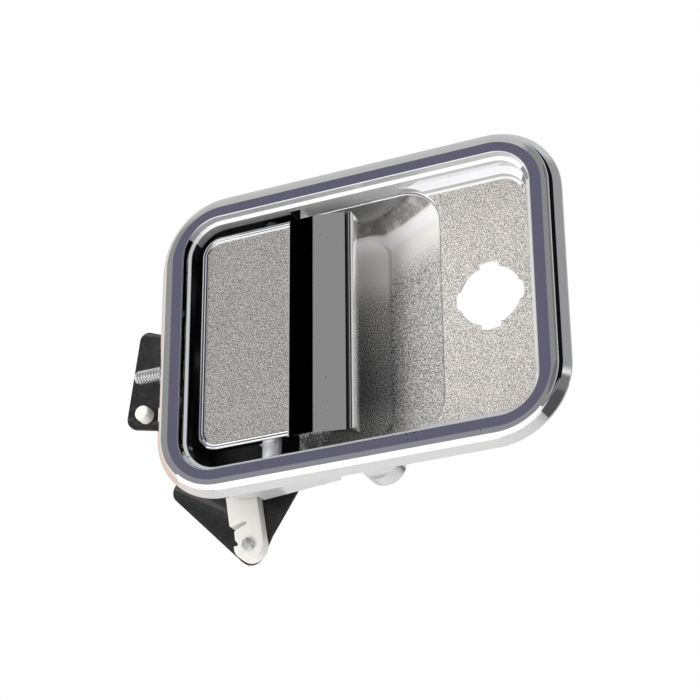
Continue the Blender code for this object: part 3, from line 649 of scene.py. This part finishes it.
def make_pan():
    pan = plate("pan", [box_outline(-OUT_W, OUT_W, -OUT_H, OUT_H, OUT_R, OUT_R, 20)],
                0.1, PANEL_Y + WALL)
    height = OUT_H + 0.6
    well = plate("well_back",
                 [box_outline(-OUT_W + 0.6, POCKET_LEFT, -height, height, OUT_R, 0.0, 20)],
                 6.0, WELL_Y + WALL - 0.1)
    ear = plate("ear", [rounded([(-EAR_R, EAR_Z - EAR_R, EAR_R - 0.1),
                                 (EAR_R, EAR_Z - EAR_R, EAR_R - 0.1),
                                 (EAR_R, EAR_Z + 12, 0), (-EAR_R, EAR_Z + 12, 0)], 16)],
                EAR_Y0, EAR_Y1)
    boss = plate("hinge_boss", [rounded([(-51.6, -57.2, 0.8), (-18.0, -54.6, 0.2),
                                         (-18.0, -50.0, 0), (-51.6, -50.0, 0)])], 13.0, 25.1)
    joined = [pocket_solid("pocket_back", WALL, 2.0, OUT_H - 0.4), well, ear, boss]
    height = IN_H - 0.15
    left, right, half = WINDOW
    removed = [
        plate("well_cut", [box_outline(-IN_W, WELL_RIGHT, -IN_H, IN_H, IN_R, 1.5, 20)],
              FRONT, WELL_Y),
        pocket_solid("pocket_cut", 0.0, FRONT - 1, IN_H - 0.03, 1.2),
        plate("divider_cut", [box_outline(-35.0, -18.0, -height, height, 0.0, 0.0)],
              FRONT + 1, DIVIDER_Y),
        ledge_solid(),
        plate("lock_hole_cut", [lobed_hole()], FRONT, 40.0),
        plate("lock_hole_relief", [lobed_hole(2.2)], PANEL_Y + 0.7, 41.0),
        plate("window_cut", [box_outline(left, right, -half, half, 2.0, 2.0, 6)], 15.0, 40.0),
        rod("ear_hole_cut", EAR_HOLE_R, (0.0, POCKET_Y + WALL + 0.2, EAR_Z), (0, 1, 0), 15.0),
        rod("hinge_bore_cut", BORE_R, (HINGE_X, HINGE_Y, -60.0), (0, 0, 1), 120.0),
        rod("stud_hole_cut", STUD_R + GAP, (-80.0, STUD_Y, STUD_Z), (1, 0, 0), 12.0),
    ]
    for number, (x, z) in enumerate(PLATE_SCREWS):
        removed.append(rod("screw_hole_%d" % number, 2.2, (x, 21.0, z), (0, 1, 0), 9.0))
    for number, z in enumerate((33.0, -33.0)):
        removed.append(rod("rear_stud_hole_%d" % number, 3.3, (LOCK_X, PANEL_Y + 1.0, z),
                           (0, 1, 0), 9.0))
    return paint_pan(combine(pan, joined, removed))


def paint_pan(pan):
    """Give each face of the pan the finish of its place, with painted reflection and painted shade
    on some, then put the pan in the frame.
    """
    paint(pan, CHROME, SAND_PANEL, POCKET, PAINTED_PALE_REFLECTION, PAINTED_SHADE_CHROME, PAINTED_GREY_REFLECTION)
    sand_slot, pocket_slot, painted_pale_slot, painted_shade_slot, painted_grey_slot = range(1, 6)
    for face in pan.data.polygons:
        at = face.center / MM - OFFSET
        if face.normal.y < -0.98 and abs(at.y - PANEL_Y) < 0.1 and at.x > 20.0:
            face.material_index = sand_slot
        elif inside_pocket(at) and face.normal.y < 0.01:
            face.material_index = pocket_slot
        # painted pale or grey reflection on the ledge's faces that look down
        elif at.x > LEDGE_LEFT and 1.8 < at.y < PANEL_Y + 0.1 and at.z > 20.0 and looks_down(face):
            face.material_index = painted_grey_slot if abs(face.normal.y) < 0.6 else painted_pale_slot
        # painted grey reflection on the pan's underside
        elif at.z < -OUT_H + 1.0 and face.normal.z < -0.5:
            face.material_index = painted_grey_slot
        # painted shade: the well gets the dark plate
        elif inside_well(at):
            face.material_index = painted_shade_slot
    return dress(smooth(pan, 28.0), "housing", "chrome", "bezel_housing")


def make_gasket():
    outlines = []
    for inset in (SEAL_INSET, SEAL_INSET + SEAL_W):
        outlines.append(box_outline(-HALF_W + inset, HALF_W - inset, -HALF_H + inset,
                                    HALF_H - inset, FLANGE_R - inset, FLANGE_R - inset, 20))
    gasket = plate("gasket", outlines, GAP, GAP + SEAL_T)
    paint(gasket, RUBBER)
    return dress(smooth(soften(gasket, 0.3)), "housing", "rubber", "door_gasket")


# --- paddle ------------------------------------------------------------------
def paddle_panel():
    """The left part of the paddle: a raised border round the sand-textured face."""
    steps = [(PADDLE_BACK, 0.0), (-2.7, 0.0), (-3.05, 0.12), (-3.3, 0.4), (PADDLE_FRONT, 0.75),
             (PADDLE_FRONT, 1.15), (-3.25, 1.45), (-3.3, 1.6), (PADDLE_FRONT, 1.85),
             (PADDLE_FRONT, 2.1), (-3.2, 2.4), (-2.85, 2.62), (-2.75, 2.9)]
    stations = []
    for y, inset in steps:
        right = GRIP_LEFT + 2.0 - min(inset, 0.8) * 0.5
        radius = PADDLE_R - inset * 0.9
        stations.append((y, box_outline(PADDLE_LEFT + inset, right, -PADDLE_H + 0.4 + inset,
                                        PADDLE_H - 0.4 - inset, radius, 0.3, 14)))
    panel = loft("paddle_panel", stations, True)
    paint(panel, CHROME, SAND_PADDLE)
    for face in panel.data.polygons:
        at = face.center / MM - OFFSET
        if face.normal.y < -0.9 and at.y > -2.9:
            face.material_index = 1
    return panel


def grip_outline():
    """Section (x, y) of the grip: rolled front, groove, double bead, finger edge; the groove's
    painted shade is given in grip_bar.
    """
    lean = [(0.0, 9.3), (0.3, 9.9), (0.55, 10.6), (0.74, 12.0), (0.86, 12.0), (0.94, 10.9),
            (1.0, 10.2)]
    roll = [(ROLL_LEFT, -3.9)]
    count = 36
    for i in range(count):
        t = (i + 0.5) / count
        for (t0, angle0), (t1, angle1) in zip(lean[:-1], lean[1:]):
            if t0 <= t <= t1:
                angle = angle0 + (angle1 - angle0) * (t - t0) / (t1 - t0)
        x, y = roll[-1]
        step = (ROLL_RIGHT - ROLL_LEFT) / count
        roll.append((x + step, y + step * math.tan(math.radians(angle))))
    x, y = roll[-1]
    bead = [(x + 0.1, y + 0.6), (x + 0.4, y + 1.1), (x + 1.0, y + 1.1), (x + 1.2, y + 0.3),
            (x + 1.5, y + 0.05), (x + 1.9, y), (x + 2.2, y + 0.12), (x + 2.35, y + 0.3),
            (x + 2.5, y + 0.12), (x + 2.8, y), (x + 3.15, y + 0.12), (x + 3.45, y + 0.6),
            (x + 3.65, y + 1.4), (GRIP_RIGHT, y + 2.2)]
    back = [(GRIP_RIGHT, 2.6), (GRIP_RIGHT - 0.3, 3.3), (GRIP_RIGHT - 0.9, 3.6),
            (GRIP_RIGHT - 2.0, 3.4), (GRIP_RIGHT - 2.4, 3.0), (GRIP_RIGHT - 3.1, 1.7),
            (GRIP_RIGHT - 5.0, 1.0), (-8.0, -0.2), (ROLL_LEFT, -0.6)]
    return roll + bead + back


def corner_cutter(name, right, top, radius):
    """Rounds one upper or lower right corner of the grip; a negative top is the lower one."""
    side = 1.0 if top > 0.0 else -1.0
    edge = arc(right - radius, abs(top) - radius, radius, 0, 90, 8)
    outline = [(x, side * z) for x, z in edge]
    outline += [(right - radius, side * (abs(top) + 2.0)), (right + 2.0, side * (abs(top) + 2.0)),
                (right + 2.0, side * (abs(top) - radius))]
    return plate(name, [outline], FRONT, 8.0)


def facet_outline():
    """Section (x, y) of the flat strip left of the roll, with a broad bevel on its left."""
    front = rounded([(GRIP_LEFT - 0.2, -2.6, 0.0), (GRIP_LEFT - 0.1, -3.1, 0.3),
                     (GRIP_LEFT + 0.75, -3.9, 0.5), (-16.5, -3.9, 0.0)], 5, False)
    return front + [(-16.5, -0.6), (GRIP_LEFT - 0.2, -0.6)]


def grip_bar():
    """The rolled grip, with a groove between its roll and its double bead, given painted shade."""
    grip = extruded("grip", [grip_outline()], GRIP_BOTTOM, GRIP_TOP, 'Z')
    grip = combine(grip, [], [corner_cutter("upper_corner", GRIP_RIGHT, GRIP_TOP, 3.0),
                              corner_cutter("lower_corner", GRIP_RIGHT, GRIP_BOTTOM, 1.5)])
    grip = paint(settle(soften(grip, 0.8, 4, 60.0), "grip"), CHROME, PAINTED_SHADE_CHROME)
    # painted shade: the groove's faces get the dark plate
    for face in grip.data.polygons:
        at = face.center / MM - OFFSET
        if ROLL_RIGHT < at.x < ROLL_RIGHT + 1.1 and at.y < 0.0 and abs(face.normal.z) < 0.3:
            face.material_index = 1
    return grip


def facet_bar():
    """The flat strip between the sand-textured panel and the roll."""
    facet = extruded("facet", [facet_outline()], GRIP_BOTTOM + 0.3, PADDLE_H - 0.9, 'Z')
    facet = paint(settle(soften(facet, 0.5, 4, 60.0), "facet"), CHROME, FACET_CHROME)
    for face in facet.data.polygons:
        if face.normal.y < -0.999:
            face.material_index = 1
    return facet


def hinge_bore():
    return rod("bore", BORE_R, (HINGE_X, HINGE_Y, -60.0), (0, 0, 1), 120.0)


def hinge_barrel(side, finish):
    """A barrel on the hinge pin with its web; side is -1 for the lower one, 1 for the upper."""
    end = IN_H - 0.4
    low, high = sorted((side * BARREL_IN, side * (PADDLE_H - 1.5)))
    web = extruded("web", [box_outline(HINGE_X - 3.0, HINGE_X + 3.0, LINK_BACK, HINGE_Y, 0, 0)],
                   low, high, 'Z')
    start = min(side * BARREL_IN, side * end)
    barrel = rod("barrel", BARREL_R, (HINGE_X, HINGE_Y, start), (0, 0, 1), end - BARREL_IN, 0.5)
    # the finish passed in is a painted reflection plate or a painted shade plate
    return paint(combine(barrel, [web], [hinge_bore()]), finish)


def tail_block():
    """The block between the barrels that the steel tail is screwed to."""
    outline = box_outline(TAIL_X + TAIL_T + GAP, HINGE_X + 4.0, LINK_BACK, HINGE_Y + 4.5, 0.0, 1.5)
    block = extruded("tail_block", [outline], -6.0, 6.0, 'Z')
    return paint(combine(block, [], [hinge_bore()]), CHROME)


def make_paddle():
    # The lower barrel gets the painted pale reflection, the upper one the painted shade.
    parts = [paddle_panel(), grip_bar(), facet_bar(), hinge_barrel(-1, PAINTED_PALE_REFLECTION),
             hinge_barrel(1, PAINTED_SHADE_CHROME), tail_block()]
    return dress(smooth(merge("pull_paddle", parts), 24.0), "paddle", "chrome", "paddle")


# --- release side ------------------------------------------------------------
def make_release_lever():
    px, pz = LEVER_PIVOT
    outline = rounded([(-98.5, -42.2, 5), (-57.5, -84.1, 5.5), (-50.5, -69.5, 10),
                       (-30.0, -38.0, 8), (-31.5, 5.0, 4.5), (-41.0, 5.0, 4.5),
                       (-45.5, -26.0, 14)], 10)
    lever = plate("lever_plate", [outline, circle(px, pz, 2.8, 32),
                                  circle(CLIP_PIVOT[0], CLIP_PIVOT[1], 2.1, 32)],
                  LEVER_Y, LEVER_Y + LEVER_T)
    soften(lever, 0.3, 3)
    lever = settle(lever, "lever_plate")
    pin = rod("push_pin", PUSH_PIN_R, (PUSH_PIN[0], PUSH_PIN_Y, PUSH_PIN[1]), (0, 1, 0),
              LEVER_Y - PUSH_PIN_Y + 0.8, 0.4)
    lever = merge("triangle_lever", [paint(lever, BLACK), paint(pin, BLACK)])
    return dress(smooth(lever), "release_lever", "black_steel", "release_lever")


def clip_point(across, along):
    """A point of the leaning rod clip, from its pivot: across to the right, along upwards."""
    c, s = math.cos(CLIP_LEAN), math.sin(CLIP_LEAN)
    return (CLIP_PIVOT[0] + across * c - along * s, CLIP_PIVOT[1] + across * s + along * c)


def make_rod_clip():
    steps = [(6.0, 22.0), (-6.9, 22.0), (-6.9, 9.9), (-6.3, 9.4), (-1.2, 9.9), (0.3, 9.9),
             (0.4, 8.7), (-1.0, 8.3), (-4.6, 7.4), (-5.2, 6.8), (-5.3, 3.2), (-4.6, 2.3),
             (-4.3, 1.3), (-4.9, 0.7), (-5.7, 1.0)]
    outline = [clip_point(*point) for point in steps]
    outline += [clip_point(*point) for point in arc(0.0, 0.0, 6.2, 172, 363, 32)]
    hole = circle(CLIP_PIVOT[0], CLIP_PIVOT[1], 2.1, 32)
    clip = plate("clip_body", [outline, hole], CLIP_Y, CLIP_Y + CLIP_T)
    soften(clip, 0.35, 3)
    paint(clip, NYLON)
    clip.name = "nylon_clip"
    return dress(smooth(clip), "rod_clip", "nylon", "rod_clip")


def make_lock_lever():
    outline = rounded([(-109.7, 29.5, 3.5), (-115.3, -13.8, 5.0), (-98.0, -17.5, 14),
                       (-68.0, -6.0, 9), (-64.0, 19.0, 9), (-88.0, 21.0, 20)], 12)
    x, z = LOCK_PIVOT
    bx, bz = BUSH_AT
    lever = plate("upper_lever", [outline, circle(x, z, 2.8, 32), circle(bx, bz, 2.3, 32)],
                  LOCK_LEVER_Y, LOCK_LEVER_Y + LEVER_T)
    soften(lever, 0.3, 3)
    paint(lever, BLACK)
    dress(smooth(lever), "lock_lever", "black_steel", "lock_lever")
    profile = [(0.0, 5.4), (2.3, 5.4), (2.8, 5.2), (3.1, 4.8), (3.25, 4.2), (3.3, 0.5),
               (3.1, GAP), (2.0, GAP), (2.0, -LEVER_T - GAP), (2.9, -LEVER_T - GAP),
               (2.6, -LEVER_T - 1.4), (0.0, -LEVER_T - 1.4)]
    bush = turned("lever_bush", profile, (bx, LOCK_LEVER_Y, bz), (0, -1, 0))
    paint(bush, NYLON)
    return dress(smooth(bush), "lock_lever", "nylon", "lock_lever_bush")


# --- fixings -----------------------------------------------------------------
def make_threaded_stud():
    """The side stud, with a real rolled thread."""
    wall = -OUT_W
    start = wall + WALL + 1.8
    length = start - STUD_TIP
    pitch, depth, around = 1.25, 0.6, 36
    cage = bmesh.new()
    rings = []
    per_turn = 10
    count = int(length / pitch * per_turn)
    for i in range(count + 1):
        along = length * i / count
        taper = min(1.0, max(0.45, (length - along) / 1.2))
        ring = []
        for k in range(around):
            angle = 2 * math.pi * k / around
            phase = (along / pitch - k / around) % 1.0
            tooth = abs(phase * 2.0 - 1.0)
            thread = STUD_R - depth * (1.0 - min(1.0, tooth * 1.25))
            radius = min(thread, STUD_R * (0.55 + 0.45 * taper))
            ring.append(cage.verts.new(place(start - along, STUD_Y + radius * math.cos(angle),
                                             STUD_Z + radius * math.sin(angle))))
        rings.append(ring)
    cage.faces.new(rings[0])
    cage.faces.new(rings[-1])
    for lower, upper in zip(rings[:-1], rings[1:]):
        for k in range(around):
            n = (k + 1) % around
            cage.faces.new((lower[k], lower[n], upper[n], upper[k]))
    bmesh.ops.recalc_face_normals(cage, faces=cage.faces)
    mesh = bpy.data.meshes.new("threaded_stud")
    cage.to_mesh(mesh)
    cage.free()
    stud = add_object("threaded_stud", mesh)
    paint(stud, ZINC)
    return dress(smooth(stud, 60.0), "housing", "zinc_plate", "side_stud")


def dress_cad_nodes():
    """CAD nodes whose shape is already right get their finish and soft edges."""
    looks = {"black_steel": BLACK, "spring_steel": STEEL, "zinc_plate": ZINC, "nylon": NYLON,
             "rubber": RUBBER, "chrome": CHROME}
    for name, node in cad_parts.items():
        if node.hide_render:
            continue
        packed = node.data.materials[0].name if node.data.materials else "zinc_plate"
        found = [look for slot_name, look in looks.items() if packed.startswith(slot_name)]
        node.material_slots[0].material = found[0] if found else ZINC
        if "spring" not in name:
            soften(node, 0.15, 2, 40.0)


# --- studio ------------------------------------------------------------------
def mirror_plane(graph, x, y, z):
    """Place (u, v) that a direction points at on the plane which the cards stand on.

    u and v are millimetres right and up from the bezel's centre. They are set out from
    CAMERA_AT, so that a flat mirror at the bezel shows the camera the card at its own place.
    """
    ahead = graph.math('MAXIMUM', graph.math('MULTIPLY', y, -1.0), 0.02)
    reach = (CAMERA_AT.y - OFFSET.y * MM + 0.005) * -1000.0
    u = graph.math('ADD', graph.math('MULTIPLY', graph.math('DIVIDE', x, ahead), reach),
                   CAMERA_AT.x * 1000.0)
    v = graph.math('ADD', graph.math('MULTIPLY', graph.math('DIVIDE', z, ahead), reach),
                   CAMERA_AT.z * 1000.0 - OFFSET.z)
    return u, v


def room(graph, x, y, z):
    """The room by direction: pale walls, darker sides, a warm left and a dark horizon."""
    color = graph.mix(graph.ramp(z, 0.35, 0.80), grey(0.86, (1.0, 0.985, 0.965)),
                      grey(0.60, (0.98, 0.99, 1.0)))
    dusk = graph.math('MULTIPLY', graph.ramp(x, 0.42, 0.66), graph.band(z, -0.78, -0.06, 0.12))
    color = graph.mix(dusk, color, grey(0.09, (0.97, 0.97, 1.03)))
    dim = graph.math('MULTIPLY', graph.ramp(x, -0.40, -0.60), graph.band(z, -0.88, -0.45, 0.10))
    color = graph.mix(dim, color, grey(0.38, (0.98, 0.98, 1.02)))
    warm = graph.math('MULTIPLY', graph.ramp(x, -0.60, -0.48, 1.0, 0.0),
                      graph.ramp(y, -0.02, 0.08))
    color = graph.mix(warm, color, (0.82, 0.64, 0.56, 1.0))
    cool = graph.math('MULTIPLY', graph.ramp(x, 0.35, 0.60), graph.ramp(z, 0.15, 0.30))
    color = graph.mix(cool, color, grey(0.34, (0.98, 0.98, 1.0)))
    horizon = graph.math('MULTIPLY', graph.band(z, -0.20, 0.12, 0.10), graph.ramp(x, -0.62, -0.45))
    return graph.mix(horizon, color, grey(0.20, (0.97, 0.98, 1.0)))


def add_cards(graph, color, x, y, z):
    """Lay the pale and dark cards in front of the object over the room."""
    u, v = mirror_plane(graph, x, y, z)
    in_front = graph.ramp(y, -0.10, -0.02, 1.0, 0.0)
    fading = graph.mix(graph.ramp(u, -60.0, 45.0), grey(0.42), grey(0.85))
    for box, soft, tone in CARDS + [(PALE_CARD, 5.0, fading), (BLACK_CARD, 2.0, grey(0.0004))]:
        card = graph.math('MULTIPLY', graph.patch(u, v, box, soft), in_front)
        color = graph.mix(card, color, tone)
    return color


def make_studio():
    """The camera sees plain white; reflections show the room and its cards."""
    world = bpy.data.worlds.new("studio")
    bpy.context.scene.world = world
    world.use_nodes = True
    world.node_tree.nodes.clear()
    graph = Graph(world.node_tree)
    split = graph.node('ShaderNodeSeparateXYZ')
    graph.feed(split.inputs[0], graph.node('ShaderNodeTexCoord').outputs['Generated'])
    x, y, z = split.outputs
    surround = graph.node('ShaderNodeBackground')
    graph.feed(surround.inputs['Color'], add_cards(graph, room(graph, x, y, z), x, y, z))
    seen = graph.node('ShaderNodeBackground')
    graph.feed(seen.inputs['Color'], grey(1.0))
    chooser = graph.node('ShaderNodeMixShader')
    graph.feed(chooser.inputs[0], graph.node('ShaderNodeLightPath').outputs['Is Camera Ray'])
    graph.feed(chooser.inputs[1], surround.outputs[0])
    graph.feed(chooser.inputs[2], seen.outputs[0])
    output = graph.node('ShaderNodeOutputWorld')
    graph.feed(output.inputs[0], chooser.outputs[0])


def make_floor():
    bpy.ops.mesh.primitive_grid_add(x_subdivisions=8, y_subdivisions=8, size=5.0,
                                    location=(0.0, 0.0, FLOOR_Z))
    floor = bpy.context.object
    floor.name = "studio_floor"
    material, graph, shader, coords = new_material("studio_floor", 0.0, 0.8)
    tone = graph.noise(coords, 3.0, 2.0)
    graph.feed(shader.inputs["Base Color"], graph.mix(tone, grey(0.88), grey(0.92)))
    floor.data.materials.append(material)
    floor.visible_glossy = False


def make_light(name, at, target, size, power):
    data = bpy.data.lights.new(name, 'AREA')
    data.shape = 'RECTANGLE'
    data.size, data.size_y = size
    data.energy = power
    light = bpy.data.objects.new(name, data)
    bpy.context.scene.collection.objects.link(light)
    light.location = at
    light.visible_glossy = False
    light.rotation_euler = (Vector(target) - Vector(at)).to_track_quat('-Z', 'Y').to_euler()


def make_camera():
    data = bpy.data.cameras.new("camera")
    data.sensor_width = SENSOR_WIDTH
    data.lens = LENS
    data.clip_start, data.clip_end = 0.01, 50.0
    camera = bpy.data.objects.new("camera", data)
    bpy.context.scene.collection.objects.link(camera)
    turn = Matrix((CAMERA_RIGHT, CAMERA_UP, CAMERA_RIGHT.cross(CAMERA_UP))).transposed()
    camera.matrix_world = Matrix.Translation(CAMERA_AT) @ turn.to_4x4()
    bpy.context.scene.camera = camera


CAMERA_AT = Vector((0.286788, -0.652268, -0.303249))
CAMERA_RIGHT = Vector((0.911873, 0.410393, -0.008103))
CAMERA_UP = Vector((0.187465, -0.398814, 0.897666))
SENSOR_WIDTH, LENS = 36.0, 108.51
FLOOR_Z = -0.36

# Cards on the mirror plane: (left, right, bottom, top), width of the soft edge, colour.
CARDS = [
    ((-900.0, 300.0, -900.0, -300.0), 20.0, grey(1.25)),
    ((-420.0, 160.0, -290.0, 300.0), 40.0, grey(0.55, (1.0, 0.99, 0.96))),
    ((-1100.0, -150.0, -160.0, 260.0), 60.0, grey(0.31)),
    ((-700.0, 330.0, -330.0, -70.0), 12.0, (0.29, 0.285, 0.31, 1.0)),
    ((150.0, 365.0, -260.0, 300.0), 30.0, grey(0.28, (1.0, 0.99, 0.98))),
    ((196.0, 214.5, -260.0, 300.0), 1.0, grey(0.17, (0.97, 0.97, 1.05))),
    ((362.0, 462.0, -300.0, 300.0), 10.0, grey(0.62)),
    ((465.0, 2600.0, -300.0, 1500.0), 6.0, grey(0.006)),
    ((-104.0, 104.0, -88.0, 88.0), 16.0, (0.135, 0.13, 0.185, 1.0)),
]
PALE_CARD = (-59.0, 66.0, -42.0, 48.0)
BLACK_CARD = (-48.0, 2.0, -50.0, 49.5)

CHROME = make_chrome("mirror_chrome")
FACET_CHROME = make_chrome("facet_chrome", 0.86, 0.004, 0.012, 0.004, 1.0, 0.0005)
# Painted reflection and shade on the one chrome casting: a pale plate and a grey plate for faces
# that look down or outwards, and a dark plate of painted shade for the well, the grip's groove and
# the upper barrel.
PAINTED_PALE_REFLECTION = make_chrome("painted_pale_reflection_chrome", 1.0, 0.14, 0.24, 0.02, 0.20)
PAINTED_GREY_REFLECTION = make_chrome("painted_grey_reflection_chrome", 0.66, 0.14, 0.24, 0.02, 0.35)
PAINTED_SHADE_CHROME = make_chrome("painted_shade_chrome", 0.14, 0.30, 0.45)
SAND_PANEL = make_sand("sand_chrome_panel", 1.0, 0.40, 0.14, 2550.0, (1.0, 0.955, 0.88))
SAND_PADDLE = make_sand("sand_chrome_paddle", 0.92, 0.85, 0.09, 2600.0, (1.0, 0.975, 0.93))
POCKET = make_pocket("pocket_chrome")
BLACK = make_black("black_coat")
STEEL = make_metal("spring_steel_look", 0.45, (1.0, 0.99, 0.97), 0.32, 900.0)
ZINC = make_metal("zinc_look", 0.90, (0.97, 0.99, 1.0), 0.22, 700.0, 0.75)
NYLON = make_plastic("natural_nylon", 0.86, (1.0, 0.985, 0.93), 0.42)
RUBBER = make_plastic("gasket_rubber", 0.028, (1.0, 1.0, 1.02), 0.75)

bezel_rim()
make_pan()
make_gasket()
make_paddle()
make_release_lever()
make_rod_clip()
make_lock_lever()
make_threaded_stud()
dress_cad_nodes()
make_studio()
make_floor()
make_light("overhead", (0.0, -0.3, 1.6), (0.0, -0.2, FLOOR_Z), (3.0, 3.0), 48.0)
make_light("key", (-0.9, -1.2, 0.4), (0.0, 0.0, 0.05), (0.8, 0.8), 11.0)
make_camera()
bpy.context.scene.view_settings.view_transform = 'Standard'
